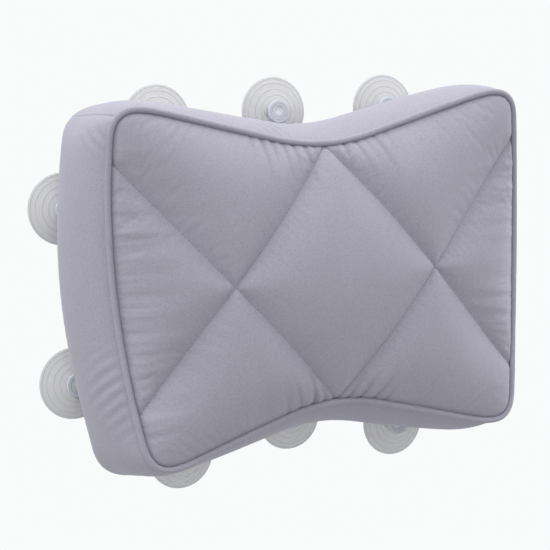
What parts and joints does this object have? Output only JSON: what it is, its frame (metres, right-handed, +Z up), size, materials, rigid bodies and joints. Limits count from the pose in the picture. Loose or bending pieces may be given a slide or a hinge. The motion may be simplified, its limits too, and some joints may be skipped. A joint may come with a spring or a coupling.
{
  "type": "bath pillow",
  "caption": "Bow-tie bath pillow with a diamond-quilted padded face, piped front edge, boxed sides and clear suction cups buttoned into tabs on its back.",
  "frame": {"origin": "on the tub wall, behind the middle of the back panel: the plane of the suction cups' rims", "axes": "+X across the pillow's width to the bather-side viewer's right, +Z up, +Y into the tub wall; the quilted face looks along -Y"},
  "size_m": [0.4518, 0.122, 0.3483],
  "materials": {
    "cover_cloth": "short velvety nap, soft sheen",
    "foam": "open-cell foam",
    "wadding": "loose fibre",
    "cotton_cord": "twisted cotton",
    "clear_vinyl": "clear, glossy"
  },
  "bodies": {
    "pillow": {"front_panel": "cover_cloth", "foam_core": "foam", "wadding": "wadding", "gusset_right": "cover_cloth", "gusset_bottom": "cover_cloth", "gusset_left": "cover_cloth", "gusset_top": "cover_cloth", "back_panel": "cover_cloth", "piping_sleeve": "cover_cloth", "piping_cord": "cotton_cord"},
    "tab_top_left": {"eyelet_tab_top_left": "clear_vinyl"},
    "cup_top_left": {"suction_cup_top_left": "clear_vinyl"},
    "tab_top_middle": {"eyelet_tab_top_middle": "clear_vinyl"},
    "cup_top_middle": {"suction_cup_top_middle": "clear_vinyl"},
    "tab_top_right": {"eyelet_tab_top_right": "clear_vinyl"},
    "cup_top_right": {"suction_cup_top_right": "clear_vinyl"},
    "tab_bottom_left": {"eyelet_tab_bottom_left": "clear_vinyl"},
    "cup_bottom_left": {"suction_cup_bottom_left": "clear_vinyl"},
    "tab_bottom_middle": {"eyelet_tab_bottom_middle": "clear_vinyl"},
    "cup_bottom_middle": {"suction_cup_bottom_middle": "clear_vinyl"},
    "tab_bottom_right": {"eyelet_tab_bottom_right": "clear_vinyl"},
    "cup_bottom_right": {"suction_cup_bottom_right": "clear_vinyl"},
    "tab_left_upper": {"eyelet_tab_left_upper": "clear_vinyl"},
    "cup_left_upper": {"suction_cup_left_upper": "clear_vinyl"},
    "tab_left_lower": {"eyelet_tab_left_lower": "clear_vinyl"},
    "cup_left_lower": {"suction_cup_left_lower": "clear_vinyl"},
    "tab_right_upper": {"eyelet_tab_right_upper": "clear_vinyl"},
    "cup_right_upper": {"suction_cup_right_upper": "clear_vinyl"},
    "tab_right_lower": {"eyelet_tab_right_lower": "clear_vinyl"},
    "cup_right_lower": {"suction_cup_right_lower": "clear_vinyl"}
  },
  "joints": [
    {"name": "tab_flex_top_left", "type": "hinge", "parent": "pillow", "child": "tab_top_left", "pos_m": [-0.109, -0.0137, 0.08795], "axis": [-1, 0, 0], "range_deg": [0, 40], "stiffness_Nm_per_rad": 0.05},
    {"name": "cup_spin_top_left", "type": "hinge", "parent": "tab_top_left", "child": "cup_top_left", "pos_m": [-0.109, 0, 0.13995], "axis": [0, 1, 0], "continuous": true},
    {"name": "tab_flex_top_middle", "type": "hinge", "parent": "pillow", "child": "tab_top_middle", "pos_m": [0, -0.0137, 0.09], "axis": [-1, 0, 0], "range_deg": [0, 40], "stiffness_Nm_per_rad": 0.05},
    {"name": "cup_spin_top_middle", "type": "hinge", "parent": "tab_top_middle", "child": "cup_top_middle", "pos_m": [0, 0, 0.142], "axis": [0, 1, 0], "continuous": true},
    {"name": "tab_flex_top_right", "type": "hinge", "parent": "pillow", "child": "tab_top_right", "pos_m": [0.109, -0.0137, 0.08795], "axis": [-1, 0, 0], "range_deg": [0, 40], "stiffness_Nm_per_rad": 0.05},
    {"name": "cup_spin_top_right", "type": "hinge", "parent": "tab_top_right", "child": "cup_top_right", "pos_m": [0.109, 0, 0.13995], "axis": [0, 1, 0], "continuous": true},
    {"name": "tab_flex_bottom_left", "type": "hinge", "parent": "pillow", "child": "tab_bottom_left", "pos_m": [-0.105, -0.0137, -0.09426], "axis": [1, 0, 0], "range_deg": [0, 40], "stiffness_Nm_per_rad": 0.05},
    {"name": "cup_spin_bottom_left", "type": "hinge", "parent": "tab_bottom_left", "child": "cup_bottom_left", "pos_m": [-0.105, 0, -0.14626], "axis": [0, 1, 0], "continuous": true},
    {"name": "tab_flex_bottom_middle", "type": "hinge", "parent": "pillow", "child": "tab_bottom_middle", "pos_m": [0, -0.0137, -0.0745], "axis": [1, 0, 0], "range_deg": [0, 40], "stiffness_Nm_per_rad": 0.05},
    {"name": "cup_spin_bottom_middle", "type": "hinge", "parent": "tab_bottom_middle", "child": "cup_bottom_middle", "pos_m": [0, 0, -0.1265], "axis": [0, 1, 0], "continuous": true},
    {"name": "tab_flex_bottom_right", "type": "hinge", "parent": "pillow", "child": "tab_bottom_right", "pos_m": [0.105, -0.0137, -0.09426], "axis": [1, 0, 0], "range_deg": [0, 40], "stiffness_Nm_per_rad": 0.05},
    {"name": "cup_spin_bottom_right", "type": "hinge", "parent": "tab_bottom_right", "child": "cup_bottom_right", "pos_m": [0.105, 0, -0.14626], "axis": [0, 1, 0], "continuous": true},
    {"name": "tab_flex_left_upper", "type": "hinge", "parent": "pillow", "child": "tab_left_upper", "pos_m": [-0.14386, -0.0137, 0.0715], "axis": [0, 0, -1], "range_deg": [0, 40], "stiffness_Nm_per_rad": 0.05},
    {"name": "cup_spin_left_upper", "type": "hinge", "parent": "tab_left_upper", "child": "cup_left_upper", "pos_m": [-0.19586, 0, 0.0715], "axis": [0, 1, 0], "continuous": true},
    {"name": "tab_flex_left_lower", "type": "hinge", "parent": "pillow", "child": "tab_left_lower", "pos_m": [-0.1439, -0.0137, -0.0735], "axis": [0, 0, -1], "range_deg": [0, 40], "stiffness_Nm_per_rad": 0.05},
    {"name": "cup_spin_left_lower", "type": "hinge", "parent": "tab_left_lower", "child": "cup_left_lower", "pos_m": [-0.1959, 0, -0.0735], "axis": [0, 1, 0], "continuous": true},
    {"name": "tab_flex_right_upper", "type": "hinge", "parent": "pillow", "child": "tab_right_upper", "pos_m": [0.14386, -0.0137, 0.0715], "axis": [0, 0, 1], "range_deg": [0, 40], "stiffness_Nm_per_rad": 0.05},
    {"name": "cup_spin_right_upper", "type": "hinge", "parent": "tab_right_upper", "child": "cup_right_upper", "pos_m": [0.19586, 0, 0.0715], "axis": [0, 1, 0], "continuous": true},
    {"name": "tab_flex_right_lower", "type": "hinge", "parent": "pillow", "child": "tab_right_lower", "pos_m": [0.1439, -0.0137, -0.0735], "axis": [0, 0, 1], "range_deg": [0, 40], "stiffness_Nm_per_rad": 0.05},
    {"name": "cup_spin_right_lower", "type": "hinge", "parent": "tab_right_lower", "child": "cup_right_lower", "pos_m": [0.1959, 0, -0.0735], "axis": [0, 1, 0], "continuous": true}
  ]
}
